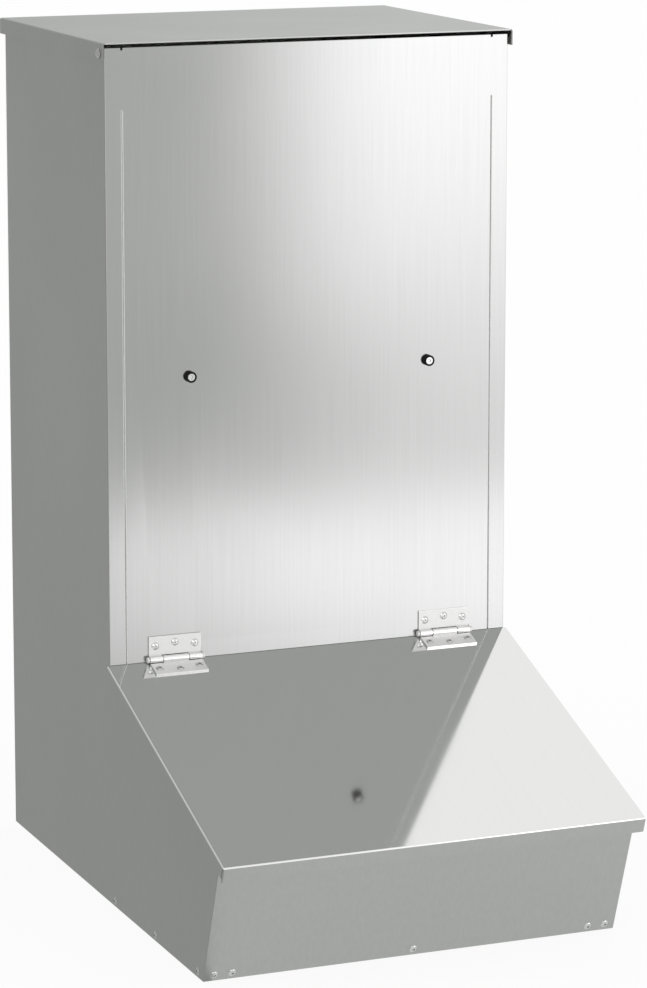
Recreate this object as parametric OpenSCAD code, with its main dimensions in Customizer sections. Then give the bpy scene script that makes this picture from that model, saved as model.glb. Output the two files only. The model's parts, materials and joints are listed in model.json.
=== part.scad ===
// Hopper feeder for pigs in folded stainless sheet.
// A tall hopper stands over a trough. A flap that the animal lifts with its snout covers the trough,
// a lid that swings up from behind closes the hopper, and a sliding gate sets how fast the feed runs.
// Lengths are in millimetres. +Z is up, the animal stands on the -Y side, X runs across the feeder.
// The origin is on the floor, in the middle of the feeder's length and width.

/* [Hopper] */
// Width across the outer faces of the side panels
body_w = 400; // [320:1:600]
// Depth from the front panel's face to the back panel's rear face
hopper_d = 292; // [220:1:420]
// Height of the hopper's walls above the floor
body_h = 799; // [700:1:1000]
// Thickness of the sheet that the feeder is folded from
sheet_t = 1.2; // [0.8:0.1:2]
// Width of the edges that the side panels fold inward at the rear and at the trough's front
fold_w = 16; // [14:0.5:20]
// Slope of the hopper's floor, in degrees
chute_slope = 47; // [42:0.5:52]
// Length of the hopper floor's foot and of its rear edge
chute_edge = 16; // [10:0.5:24]

/* [Front panel] */
// Width of the strip between the feeder's corner and the slit beside it
seam_inset = 16.2; // [13:0.1:19]
// Width of the two slits that run up the panel from the flap
seam_w = 0.4; // [0.3:0.1:3]
// How far the side panel's front edge reaches on behind the panel, past the strip
lap_w = 12; // [8:0.5:22]
// Height of the band above the slits
band_h = 57.6; // [40:0.1:90]
// Width of the small notch above each slit
notch_w = 2.2; // [1:0.1:4]
// Depth of the small notch above each slit
notch_h = 2.2; // [1:0.1:6]
// Length of the panel below the flap's line
skirt_h = 103; // [96:1:120]

/* [Trough flap] */
// Height of the flap's upper face where it meets the hopper
flap_z = 228.3; // [215:0.1:260]
// Slope of the closed flap, in degrees
flap_slope = 19.8; // [15:0.1:23]
// Length of the flap along its slope, from the hopper's face to the front edge
flap_len = 320; // [280:1:360]
// How far the flap stands out past each side panel
flap_side = 2.9; // [2.4:0.1:6]
// How far the flap's edge stands out past the trough's front wall
flap_nose = 14.6; // [8:0.1:24]
// Height of the flap's turned-down front edge
flap_lip = 15; // [8:0.5:22]
// Height of the flap's turned-down side edges
flap_side_lip = 12; // [6:0.5:18]
// Length of the open corner between the front and the side edges
flap_corner = 2; // [2:0.5:8]
// Gap between the flap's upper edge and the hopper
flap_gap = 0.6; // [0.6:0.1:1.4]
// Width of the rim at the top of the trough's front wall
rim_w = 12; // [6:0.5:18]

/* [Trough floor] */
// Height of the turned-up edges of the trough's floor
pan_lip = 13; // [11:0.5:20]
// How far the floor reaches under the hopper
pan_rear = 4; // [2:0.5:12]
// Height of the rivets above the floor
pan_rivet_z = 5.6; // [5.5:0.1:7]
// Distance of the rearmost side rivet from the hopper's face
pan_rivet_back = 10; // [8:0.5:20]
// Distance of the foremost side rivet from the trough's front wall
pan_rivet_fore = 13.4; // [10:0.1:20]
// Distance of the outer front rivets from the feeder's corner
corner_rivet_x = 9.5; // [7:0.1:10.5]
// Distance of the inner front rivets from the feeder's corner
floor_rivet_x = 26.5; // [25:0.1:34]

/* [Lid] */
// Gap between the hopper's top edge and the lid
lid_gap = 3.8; // [2.6:0.1:5]
// How far the lid stands out past each side panel
lid_side = 3.1; // [3:0.1:6]
// How far the lid stands out past the front panel
lid_front = 4.4; // [0.2:0.1:5]
// How far the lid stands out past the back panel, as a grip
lid_rear = 9; // [6:0.5:20]
// Height of the lid's turned-down edges
lid_lip = 15; // [14:0.5:22]
// Distance of the lid's pivot behind the front panel
pivot_in = 5.4; // [3.4:0.1:6]
// Distance of the lid's pivot below the hopper's top edge
pivot_drop = 5; // [5:0.1:6.5]
// Diameter of the pivot's shank
pivot_d = 4; // [3:0.1:5]
// Diameter of the pivot's round head
pivot_head_d = 9.6; // [7:0.1:10]
// Height of the pivot's round head
pivot_head_h = 2.4; // [1:0.1:3]
// Diameter of the pivot's set end inside the hopper
pivot_set_d = 6; // [5.2:0.1:6.2]
// Diameter of the spacer between the lid's edge and the side panel
spacer_d = 6; // [5.2:0.1:8]
// Width of the rim on the back panel that carries the lid
back_rim_w = 12; // [6:0.5:20]

/* [Hinges] */
// Width of a hinge leaf
hinge_w = 51.5; // [48:0.5:60]
// Distance of a hinge's middle from the feeder's side
hinge_inset = 63.5; // [62:0.5:90]
// Length of a leaf from the hinge's axis
leaf_len = 21.3; // [19.5:0.1:28]
// Thickness of a leaf
leaf_t = 1.6; // [1.2:0.1:2]
// Diameter of the knuckles
knuckle_d = 6.4; // [6:0.1:7]
// Diameter of the hinge pin
pin_d = 3; // [2:0.1:3.4]
// Diameter of the pin's upset ends
pin_head_d = 5.4; // [4:0.1:6]
// Length of the pin past the knuckles
pin_end = 2.6; // [1:0.1:4]
// Spacing of the rivets along a leaf
leaf_rivet_pitch = 19.5; // [18:0.1:20.5]
// Distance of the outer rivets from the hinge's axis
leaf_rivet_row = 12.3; // [11.5:0.1:13.5]
// How far the middle rivet is set out from the others
leaf_rivet_offset = 2.5; // [0:0.1:3]

/* [Blind rivets] */
// Diameter of a blind rivet's shank
rivet_d = 4; // [3:0.1:4.8]
// Diameter of a blind rivet's domed head
rivet_head_d = 7.6; // [6.5:0.1:8]
// Height of a blind rivet's domed head
rivet_head_h = 1.5; // [0.8:0.1:1.5]
// Diameter of the bulb that closes the rivet behind the sheet
rivet_bulb_d = 5.6; // [5.2:0.1:6.4]
// Length of the bulb
rivet_bulb_h = 2.2; // [1.5:0.1:3]

/* [Bump stops] */
// Distance of a bump stop from the feeder's side
stop_inset = 80.5; // [60:0.5:110]
// Height of the bump stops above the flap's line
stop_rise = 265.7; // [220:0.1:270]
// Diameter of the rubber stop
stop_d = 10.4; // [10.4:0.1:14]
// Height of the rubber stop
stop_h = 4.8; // [4.6:0.1:5.8]
// Depth of the screw's head below the stop's face
stop_recess = 0.4; // [0.2:0.1:0.8]
// Diameter of the stop's screw
screw_d = 4; // [3:0.1:4.4]
// Diameter of the screw's head
screw_head_d = 7; // [7:0.1:8.8]
// Height of the screw's head
screw_head_h = 2; // [1.5:0.1:2.4]
// Width of the nut across its flats
nut_af = 7; // [6.6:0.1:8]
// Height of the nut
nut_h = 3.2; // [2.4:0.1:4]
// Diameter of the washer under the nut
stop_washer_d = 9; // [8.6:0.1:12]
// Thickness of the washer under the nut
stop_washer_t = 0.8; // [0.6:0.1:1.2]

/* [Feed gate] */
// Distance of the gate's edge from the feeder's side
gate_side = 25; // [21:0.5:50]
// Height of the gate
gate_h = 130; // [110:1:140]
// Thickness of the gate
gate_t = 1.5; // [1:0.1:2.5]
// Distance of the gate's upper edge below the flap's line, half open
gate_drop = 38; // [34:1:40]
// Travel of the gate to each side of half open
gate_travel = 30; // [20:1:32]
// Distance of the gate's bolts from the feeder's side
gate_bolt_inset = 88; // [70:1:120]
// Distance of the gate's bolts below its upper edge
gate_bolt_drop = 20; // [16:0.5:22]
// Diameter of the gate's bolts
bolt_d = 6; // [5:0.1:6.4]
// Diameter of the bolt's round head
bolt_head_d = 14; // [12:0.1:18]
// Height of the bolt's round head
bolt_head_h = 3; // [2:0.1:4]
// Diameter of the washer under a wing nut
gate_washer_d = 14; // [12:0.1:18]
// Thickness of the washer under a wing nut
gate_washer_t = 1.2; // [0.8:0.1:2]
// Diameter of the wing nut's hub
wing_hub_d = 11; // [10:0.1:13]
// Height of the wing nut's hub
wing_hub_h = 5.5; // [4.5:0.1:8]
// Radius that the wings reach
wing_r = 13.5; // [12:0.1:16]
// Height that the wings reach
wing_h = 11; // [9:0.1:14]
// Thickness of a wing
wing_t = 2.2; // [1.4:0.1:3]

/* [Wall fixing] */
// Diameter of the two holes that bolt the feeder to a wall
wall_hole_d = 9; // [6:0.5:12]
// Distance of a wall hole from the feeder's side
wall_hole_inset = 75; // [40:1:120]
// Distance of the wall holes below the hopper's top edge
wall_hole_drop = 60; // [40:1:120]

/* [Hidden] */
$fn = 48;

// Clearances: sheets that lap, pieces that rest or slide on each other, fixed shanks and turning shanks
lap_fit = 0.1;
rest_fit = 0.3;
shank_fit = 0.05;
running_fit = 0.05;
// How far a cut runs past the face that it opens
cut_over = 1;

// Share of a leaf's width that an outer knuckle takes
knuckle_share = 0.25;
// Shares of the rivet head's diameter and height that its mandrel hole takes
mandrel_share = 0.3;
mandrel_depth_share = 0.6;
// Shares of the screw head's diameter and height that its hexagon socket takes
socket_share = 0.4;
socket_depth_share = 0.5;
// Share of a round head's height that its shank reaches into it
root_share = 0.25;
// Outline of a wing, as shares of the radius and of the height that it reaches
wing_shares = [[0.25, 0.1], [0.85, 0.42], [1, 0.82], [0.86, 1], [0.66, 0.86], [0.25, 0.48]];

// Both sides of the feeder
sides = [-1, 1];
half_w = body_w / 2;
inner_w = half_w - sheet_t;
band_z = body_h - band_h;
lid_z = body_h + lid_gap;
lid_top = lid_z + sheet_t;
lid_w = half_w + lid_side;
flap_w = half_w + flap_side;
back_top = lid_z - rest_fit;

slope_sin = sin(flap_slope);
slope_cos = cos(flap_slope);
// A point of the flap's plane: v runs up the slope from the hopper's face, n stands off the upper face
function flap_point(v, n) = [v * slope_cos - n * slope_sin, flap_z + v * slope_sin + n * slope_cos];
// How far off the upper face the line at v is when it reaches the height z
function height_on(v, z) = (z - flap_z - v * slope_sin) / slope_cos;
// A point of the line at v, at the height z
function wall_point(v, z) = flap_point(v, height_on(v, z));

// Places along the flap's slope: the front wall's faces, the folds behind it, the flap's upper edge
wall_v = flap_nose - flap_len;
wall_in_v = wall_v + sheet_t;
fold_in_v = wall_in_v + sheet_t;
flap_rear_v = -(flap_gap + sheet_t * slope_sin) / slope_cos;
// The trough's upper edges, a rest below the flap
seat_n = -sheet_t - rest_fit;
trough_top_z = flap_z + seat_n / slope_cos;
base_y = wall_point(wall_v, 0)[0];

// The hinge axis, a rest further out than a knuckle's radius from the panel and from the flap
knuckle_r = knuckle_d / 2;
axis_off = knuckle_r + rest_fit;
axis_v = -axis_off * (1 - slope_sin) / slope_cos;
axis_z = flap_point(axis_v, axis_off)[1];
hinges_x = [hinge_inset - half_w, half_w - hinge_inset];
// Ends of the three knuckles across one hinge
knuckle_ends = [
    -hinge_w / 2,
    hinge_w * (knuckle_share - 1 / 2),
    hinge_w * (1 / 2 - knuckle_share),
    hinge_w / 2
];
// Rivets of one hinge leaf: across the hinge, and away from its axis
leaf_rivets = [
    [-leaf_rivet_pitch, leaf_rivet_row],
    [0, leaf_rivet_row + leaf_rivet_offset],
    [leaf_rivet_pitch, leaf_rivet_row]
];

// The strips beside the slits stand over the side panels, and the skirt below them fits between those
strip_w = half_w - seam_inset;
panel_half_w = strip_w - seam_w;
strip_z = trough_top_z + lap_fit;
skirt_top_z = strip_z - seam_w;
skirt_z = flap_z - skirt_h;
pivot_y = sheet_t + pivot_in;
pivot_z = body_h - pivot_drop;
lap_top_z = pivot_z - pivot_head_d / 2 - rest_fit;

// Half widths of the floor, of its front edge and of the hopper floor's foot
pan_w = inner_w - lap_fit;
pan_front_w = half_w - fold_w - seam_w;
foot_w = pan_w - sheet_t - lap_fit;
pan_edge_y = -2 * sheet_t;
side_rivets_y = [
    -pan_rivet_back,
    (base_y + pan_rivet_fore - pan_rivet_back) / 2,
    base_y + pan_rivet_fore
];
front_rivets_x = [
    corner_rivet_x - half_w,
    floor_rivet_x - half_w,
    0,
    half_w - floor_rivet_x,
    half_w - corner_rivet_x
];

// Heights of the hopper floor's upper and lower face at a distance behind the hopper's face
function chute_up(y) = 2 * sheet_t + y * tan(chute_slope);
function chute_low(y) = chute_up(y) - sheet_t / cos(chute_slope);
chute_rear = hopper_d - 2 * sheet_t;
chute_in = chute_rear - sheet_t;
chute_top_z = chute_up(chute_in) + chute_edge;
toe_y = sheet_t * (1 - cos(chute_slope)) / sin(chute_slope);

stop_z = flap_z + stop_rise;
screw_face_y = stop_recess - stop_h;
stop_nut_y = sheet_t + stop_washer_t;
nut_d = nut_af / cos(30);

gate_y = sheet_t + rest_fit;
gate_back_y = gate_y + gate_t;
gate_top_z = flap_z - gate_drop;
gate_bolt_z = gate_top_z - gate_bolt_drop;
gate_slot_d = bolt_d + 2 * rest_fit;
wing_y = -gate_washer_t - 2 * rest_fit;
bolt_end_y = wing_y - wing_hub_h - bolt_d / 2;

front_reach = flap_len * slope_cos;
rear_reach = hopper_d + lid_rear;
frame_y = (front_reach - rear_reach) / 2;

// Frames and simple shapes

// From the hopper's face to the middle of the feeder's length
module in_frame() {
    translate([0, frame_y, 0]) children();
}

// From the flap's plane to the feeder: X across, Y up the slope, Z off the upper face
module on_flap() {
    translate([0, 0, flap_z]) rotate([flap_slope, 0, 0]) children();
}

// A box between two corners
module block(low, high) {
    translate(low) cube(high - low);
}

// An outline drawn in Y and Z, drawn out along X between two places
module along_x(from, to) {
    translate([from, 0, 0]) rotate([90, 0, 90]) linear_extrude(to - from) children();
}

// A sheet's edge on both sides of the feeder, whose outer face is at a distance from the middle
module edges_at(outer) {
    for (side = sides)
        translate([side * (outer - sheet_t / 2), 0, 0])
            along_x(-sheet_t / 2, sheet_t / 2) children();
}

// A rod along X
module rod_x(from, to, d) {
    translate([from, 0, 0]) rotate([0, 90, 0]) cylinder(h = to - from, d = d);
}

// A rod along Y
module rod_y(from, to, d) {
    translate([0, from, 0]) rotate([-90, 0, 0]) cylinder(h = to - from, d = d);
}

// A ring along Y
module ring_y(from, to, d, bore) {
    difference() {
        rod_y(from, to, d);
        rod_y(from - cut_over, to + cut_over, bore);
    }
}

// A domed cap that stands on Z = 0
module cap(d, h) {
    round_r = (d * d / 4 + h * h) / (2 * h);
    intersection() {
        translate([0, 0, h - round_r]) sphere(round_r);
        translate([-d, -d, 0]) cube([2 * d, 2 * d, 2 * h]);
    }
}

// A set blind rivet: head above Z = 0, shank down through the sheets, bulb behind them
module blind_rivet(grip) {
    difference() {
        cap(rivet_head_d, rivet_head_h);
        translate([0, 0, rivet_head_h * (1 - mandrel_depth_share)])
            cylinder(h = rivet_head_h, d = rivet_head_d * mandrel_share);
    }
    translate([0, 0, -grip - rivet_bulb_h])
        cylinder(h = grip + rivet_bulb_h + rivet_head_h * root_share, d = rivet_d);
    translate([0, 0, -grip - rivet_bulb_h]) cylinder(h = rivet_bulb_h, d = rivet_bulb_d);
}

// The hole for a blind rivet's shank, through whatever sheets lie at Z = 0
module rivet_hole() {
    hole_reach = leaf_t + 2 * sheet_t + cut_over;
    translate([0, 0, -hole_reach]) cylinder(h = 2 * hole_reach, d = rivet_d + 2 * shank_fit);
}

// Places of fasteners

// Rivets of one leaf on the front panel, with Z pointing out of the panel
module at_fixed_rivets(hinge_x) {
    for (place = leaf_rivets)
        translate([hinge_x + place[0], 0, axis_z + place[1]]) rotate([90, 0, 0]) children();
}

// Rivets of one leaf on the flap, with Z pointing out of the upper face
module at_moving_rivets(hinge_x) {
    on_flap()
        for (place = leaf_rivets)
            translate([hinge_x + place[0], axis_v - place[1], 0]) children();
}

// Rivets along the bottom of one side panel, with Z pointing out of it
module at_side_rivets(side) {
    for (y = side_rivets_y)
        translate([side * half_w, y, pan_rivet_z]) rotate([0, side * 90, 0]) children();
}

// Rivets along the bottom of the trough's front wall, with Z pointing out of it
module at_front_rivets() {
    on_flap()
        for (x = front_rivets_x)
            translate([x, wall_v, height_on(wall_v, pan_rivet_z)]) rotate([90, 0, 0]) children();
}

// The lid's pivot line
module at_pivot() {
    translate([0, pivot_y, pivot_z]) children();
}

// One bump stop, on the front panel's face
module at_stop(side) {
    translate([side * (half_w - stop_inset), 0, stop_z]) children();
}

// One bolt of the feed gate
module at_gate_bolt(side) {
    translate([side * (half_w - gate_bolt_inset), 0, gate_bolt_z]) children();
}

// Side panels

// Outline of a side panel: hopper wall, trough wall, and the slope that carries the flap
module side_outline() {
    polygon([
        [hopper_d - sheet_t, 0],
        wall_point(wall_in_v, 0),
        flap_point(wall_in_v, seat_n),
        [0, trough_top_z],
        [sheet_t, trough_top_z],
        [sheet_t, body_h],
        [hopper_d - sheet_t, body_h]
    ]);
}

// The left side panel with its folded edges
module side_sheet() {
    difference() {
        union() {
            along_x(-half_w, -inner_w) side_outline();
            block([-half_w, sheet_t, flap_z], [lap_w - strip_w, 2 * sheet_t, lap_top_z]);
            block([-half_w, chute_rear, 0], [fold_w - half_w, hopper_d - sheet_t, body_h]);
            along_x(-half_w, fold_w - half_w)
                polygon([
                    wall_point(wall_in_v, 0),
                    flap_point(wall_in_v, seat_n),
                    flap_point(fold_in_v, seat_n),
                    wall_point(fold_in_v, 0)
                ]);
        }
        at_side_rivets(-1) rivet_hole();
        at_front_rivets() rivet_hole();
        at_pivot() rod_x(-half_w - cut_over, cut_over - inner_w, pivot_d + 2 * shank_fit);
    }
}

module left_side_panel() {
    color("silver") in_frame() side_sheet();
}

module right_side_panel() {
    color("silver") in_frame() mirror([1, 0, 0]) side_sheet();
}

// Hopper walls and floor

module back_panel() {
    color("silver") in_frame() difference() {
        union() {
            block([-half_w, hopper_d - sheet_t, 0], [half_w, hopper_d, back_top]);
            block([-half_w, hopper_d - back_rim_w, back_top - sheet_t], [half_w, hopper_d, back_top]);
        }
        for (side = sides)
            translate([side * (half_w - wall_hole_inset), 0, body_h - wall_hole_drop])
                rod_y(hopper_d - sheet_t - cut_over, hopper_d + cut_over, wall_hole_d);
    }
}

// Slot in the front panel for one bolt of the feed gate
module gate_slot() {
    for (end = sides)
        translate([0, 0, end * gate_travel])
            rod_y(-cut_over, sheet_t + cut_over, gate_slot_d);
    block(
        [-gate_slot_d / 2, -cut_over, -gate_travel],
        [gate_slot_d / 2, sheet_t + cut_over, gate_travel]
    );
}

module front_panel() {
    color("gainsboro") in_frame() difference() {
        union() {
            block([-panel_half_w, 0, skirt_z], [panel_half_w, sheet_t, body_h]);
            block([-half_w, 0, band_z], [half_w, sheet_t, body_h]);
            for (side = [0, 1])
                mirror([side, 0, 0]) block([-half_w, 0, strip_z], [-strip_w, sheet_t, body_h]);
            block([-pan_w, 0, skirt_z], [pan_w, sheet_t, skirt_top_z]);
            edges_at(pan_w)
                polygon([[0, skirt_z], [fold_w, skirt_z], [fold_w, skirt_top_z], [0, skirt_top_z]]);
        }
        for (side = sides) {
            translate([side * (panel_half_w + seam_w / 2), 0, body_h])
                block([-notch_w / 2, -cut_over, -notch_h], [notch_w / 2, sheet_t + cut_over, cut_over]);
            at_stop(side) rod_y(-cut_over, sheet_t + cut_over, screw_d + 2 * shank_fit);
            at_gate_bolt(side) gate_slot();
        }
        for (hinge_x = hinges_x)
            at_fixed_rivets(hinge_x) rivet_hole();
    }
}

module hopper_chute() {
    color("darkgray") in_frame() {
        along_x(-foot_w, foot_w)
            polygon([
                [-chute_edge, sheet_t],
                [toe_y, sheet_t],
                [chute_in, chute_low(chute_in)],
                [chute_in, chute_up(chute_in)],
                [0, 2 * sheet_t],
                [-chute_edge, 2 * sheet_t]
            ]);
        along_x(-pan_w, pan_w)
            polygon([
                [toe_y, sheet_t],
                [chute_rear, chute_low(chute_rear)],
                [chute_rear, chute_top_z],
                [chute_in, chute_top_z],
                [chute_in, chute_up(chute_in)],
                [0, 2 * sheet_t]
            ]);
    }
}

// Trough

module trough_pan() {
    color("darkgray") in_frame() difference() {
        union() {
            along_x(-pan_front_w, pan_front_w)
                polygon([
                    [pan_rear, 0],
                    wall_point(wall_in_v, 0),
                    wall_point(wall_in_v, pan_lip),
                    wall_point(fold_in_v, pan_lip),
                    wall_point(fold_in_v, sheet_t),
                    [pan_rear, sheet_t]
                ]);
            along_x(-pan_w, pan_w)
                polygon([
                    [pan_rear, 0],
                    wall_point(fold_in_v + lap_fit, 0),
                    wall_point(fold_in_v + lap_fit, sheet_t),
                    [pan_rear, sheet_t]
                ]);
            edges_at(pan_w)
                polygon([
                    [pan_edge_y, 0],
                    wall_point(fold_in_v + lap_fit, 0),
                    wall_point(fold_in_v + lap_fit, pan_lip),
                    [pan_edge_y, pan_lip]
                ]);
        }
        for (side = sides)
            at_side_rivets(side) rivet_hole();
        at_front_rivets() rivet_hole();
    }
}

module trough_front() {
    color("darkgray") in_frame() difference() {
        union() {
            along_x(-half_w, half_w)
                polygon([
                    wall_point(wall_v, 0),
                    flap_point(wall_v, seat_n),
                    flap_point(wall_in_v, seat_n),
                    wall_point(wall_in_v, 0)
                ]);
            along_x(-pan_front_w, pan_front_w)
                polygon([
                    flap_point(wall_v, seat_n),
                    flap_point(wall_v + rim_w, seat_n),
                    flap_point(wall_v + rim_w, seat_n - sheet_t),
                    flap_point(wall_v, seat_n - sheet_t)
                ]);
        }
        at_front_rivets() rivet_hole();
    }
}

module side_pan_rivets() {
    color("whitesmoke") in_frame()
        for (side = sides)
            at_side_rivets(side) blind_rivet(2 * sheet_t + lap_fit);
}

module front_pan_rivets() {
    color("whitesmoke") in_frame() at_front_rivets() blind_rivet(2 * sheet_t);
}

module trough_flap() {
    color("lightgray") in_frame() difference() {
        on_flap() {
            block([-flap_w, -flap_len, -sheet_t], [flap_w, flap_rear_v, 0]);
            block([-flap_w, -flap_len, -flap_lip], [flap_w, sheet_t - flap_len, 0]);
            edges_at(flap_w)
                polygon([
                    [flap_corner - flap_len, 0],
                    [flap_corner - flap_len, -flap_side_lip],
                    [flap_rear_v, -flap_side_lip],
                    [flap_rear_v, 0]
                ]);
        }
        for (hinge_x = hinges_x)
            at_moving_rivets(hinge_x) rivet_hole();
    }
}

// Lid and its pivots

module hopper_lid() {
    color("silver") in_frame() difference() {
        union() {
            block([-lid_w, -lid_front, lid_z], [lid_w, rear_reach, lid_top]);
            block([-lid_w, rear_reach - sheet_t, lid_top - lid_lip], [lid_w, rear_reach, lid_top]);
            edges_at(lid_w)
                polygon([
                    [-lid_front, lid_top],
                    [-lid_front, lid_top - lid_lip],
                    [rear_reach, lid_top - lid_lip],
                    [rear_reach, lid_top]
                ]);
        }
        at_pivot() rod_x(-lid_w - cut_over, lid_w + cut_over, pivot_d + 2 * running_fit);
    }
}

// The left pivot: head outside the lid, shank through lid and side panel, set end inside
module pivot_rivet() {
    at_pivot() {
        rod_x(-lid_w - rest_fit - pivot_head_h * root_share, pivot_d / 2 - inner_w, pivot_d);
        rod_x(-inner_w, pivot_d / 2 - inner_w, pivot_set_d);
        translate([-lid_w - rest_fit, 0, 0]) rotate([0, -90, 0]) cap(pivot_head_d, pivot_head_h);
    }
}

module left_lid_pivot() {
    color("whitesmoke") in_frame() pivot_rivet();
}

module right_lid_pivot() {
    color("whitesmoke") in_frame() mirror([1, 0, 0]) pivot_rivet();
}

module lid_spacers() {
    color("gray") in_frame() at_pivot()
        for (side = [0, 1])
            mirror([side, 0, 0]) difference() {
                rod_x(sheet_t + rest_fit - lid_w, -half_w, spacer_d);
                rod_x(-lid_w, cut_over - half_w, pivot_d + 2 * shank_fit);
            }
}

// Hinges

// A leaf that lies on Y = 0 and reaches up Z from the axis, with the knuckles that it carries
module leaf(carried, freed) {
    difference() {
        union() {
            block([-hinge_w / 2, -leaf_t, 0], [hinge_w / 2, 0, leaf_len]);
            for (k = carried)
                translate([0, -axis_off, 0])
                    rod_x(knuckle_ends[k], knuckle_ends[k + 1], knuckle_d);
        }
        for (k = freed)
            block(
                [knuckle_ends[k] - rest_fit, -axis_off - knuckle_d, -knuckle_d],
                [knuckle_ends[k + 1] + rest_fit, cut_over, knuckle_r + rest_fit]
            );
        translate([0, -axis_off, 0]) rod_x(-hinge_w, hinge_w, pin_d + 2 * running_fit);
        for (place = leaf_rivets)
            translate([place[0], 0, place[1]]) rotate([90, 0, 0]) rivet_hole();
    }
}

// The leaf on the front panel, with the two outer knuckles
module fixed_leaf(hinge_x) {
    color("whitesmoke") in_frame() translate([hinge_x, 0, axis_z]) leaf([0, 2], [1]);
}

// The leaf on the flap, with the middle knuckle
module moving_leaf(hinge_x) {
    color("whitesmoke") in_frame() on_flap()
        translate([hinge_x, axis_v, 0]) rotate([-90, 0, 180]) leaf([1], [0, 2]);
}

// The pin of one hinge, with an upset end on each side
module hinge_pin(hinge_x) {
    color("gray") in_frame() translate([hinge_x, -axis_off, axis_z]) {
        rod_x(-hinge_w / 2 - pin_end, hinge_w / 2 + pin_end, pin_d);
        for (side = [0, 1])
            mirror([side, 0, 0])
                rod_x(hinge_w / 2 + rest_fit, hinge_w / 2 + pin_end, pin_head_d);
    }
}

module left_fixed_leaf() {
    fixed_leaf(hinges_x[0]);
}

module right_fixed_leaf() {
    fixed_leaf(hinges_x[1]);
}

module left_moving_leaf() {
    moving_leaf(hinges_x[0]);
}

module right_moving_leaf() {
    moving_leaf(hinges_x[1]);
}

module left_hinge_pin() {
    hinge_pin(hinges_x[0]);
}

module right_hinge_pin() {
    hinge_pin(hinges_x[1]);
}

module fixed_leaf_rivets() {
    color("whitesmoke") in_frame()
        for (hinge_x = hinges_x)
            at_fixed_rivets(hinge_x) translate([0, 0, leaf_t]) blind_rivet(leaf_t + sheet_t);
}

module moving_leaf_rivets() {
    color("whitesmoke") in_frame()
        for (hinge_x = hinges_x)
            at_moving_rivets(hinge_x) translate([0, 0, leaf_t]) blind_rivet(leaf_t + sheet_t);
}

// Bump stops that catch the flap when it is thrown open

// A rubber stop, sunk for its screw's head
module bump_stop(side) {
    color("black") in_frame() at_stop(side) difference() {
        ring_y(-stop_h, 0, stop_d, screw_d + 2 * shank_fit);
        rod_y(-stop_h - cut_over, screw_face_y + screw_head_h, screw_head_d + 2 * lap_fit);
    }
}

module left_bump_stop() {
    bump_stop(-1);
}

module right_bump_stop() {
    bump_stop(1);
}

module bump_stop_screws() {
    color("whitesmoke") in_frame()
        for (side = sides)
            at_stop(side) {
                difference() {
                    rod_y(screw_face_y, screw_face_y + screw_head_h, screw_head_d);
                    translate([0, screw_face_y + screw_head_h * socket_depth_share, 0])
                        rotate([90, 0, 0])
                            cylinder(h = screw_head_h, d = screw_head_d * socket_share, $fn = 6);
                }
                rod_y(
                    screw_face_y + screw_head_h * (1 - root_share),
                    stop_nut_y + nut_h + screw_d / 4,
                    screw_d
                );
            }
}

module bump_stop_washers() {
    color("silver") in_frame()
        for (side = sides)
            at_stop(side) ring_y(sheet_t, stop_nut_y, stop_washer_d, screw_d + 2 * shank_fit);
}

module bump_stop_nuts() {
    color("silver") in_frame()
        for (side = sides)
            at_stop(side) difference() {
                translate([0, stop_nut_y, 0]) rotate([-90, 0, 0])
                    cylinder(h = nut_h, d = nut_d, $fn = 6);
                rod_y(0, stop_nut_y + nut_h + cut_over, screw_d + 2 * shank_fit);
            }
}

// Feed gate

module feed_gate() {
    color("silver") in_frame() difference() {
        block(
            [gate_side - half_w, gate_y, gate_top_z - gate_h],
            [half_w - gate_side, gate_back_y, gate_top_z]
        );
        for (side = sides)
            at_gate_bolt(side)
                rod_y(gate_y - cut_over, gate_back_y + cut_over, bolt_d + 2 * shank_fit);
    }
}

module gate_bolts() {
    color("whitesmoke") in_frame()
        for (side = sides)
            at_gate_bolt(side) {
                rod_y(bolt_end_y, gate_back_y + bolt_head_h * root_share, bolt_d);
                translate([0, gate_back_y, 0]) rotate([-90, 0, 0]) cap(bolt_head_d, bolt_head_h);
            }
}

module gate_washers() {
    color("silver") in_frame()
        for (side = sides)
            at_gate_bolt(side)
                ring_y(-rest_fit - gate_washer_t, -rest_fit, gate_washer_d, bolt_d + 2 * shank_fit);
}

// A wing nut with its wings level
module wing_nut(side) {
    color("whitesmoke") in_frame() at_gate_bolt(side) difference() {
        union() {
            rod_y(wing_y - wing_hub_h, wing_y, wing_hub_d);
            for (turn = [0, 1])
                mirror([turn, 0, 0]) translate([0, wing_y, 0]) mirror([0, 1, 0])
                    linear_extrude(wing_t, center = true)
                        polygon([for (s = wing_shares) [s[0] * wing_r, s[1] * wing_h]]);
        }
        rod_y(wing_y - wing_h, wing_y + cut_over, bolt_d + 2 * running_fit);
    }
}

module left_wing_nut() {
    wing_nut(-1);
}

module right_wing_nut() {
    wing_nut(1);
}

left_side_panel();
right_side_panel();
back_panel();
front_panel();
hopper_chute();
trough_pan();
trough_front();
side_pan_rivets();
front_pan_rivets();
left_fixed_leaf();
right_fixed_leaf();
left_hinge_pin();
right_hinge_pin();
fixed_leaf_rivets();
left_bump_stop();
right_bump_stop();
bump_stop_screws();
bump_stop_washers();
bump_stop_nuts();
left_lid_pivot();
right_lid_pivot();
lid_spacers();
trough_flap();
left_moving_leaf();
right_moving_leaf();
moving_leaf_rivets();
hopper_lid();
feed_gate();
gate_bolts();
gate_washers();
left_wing_nut();
right_wing_nut();
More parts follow.
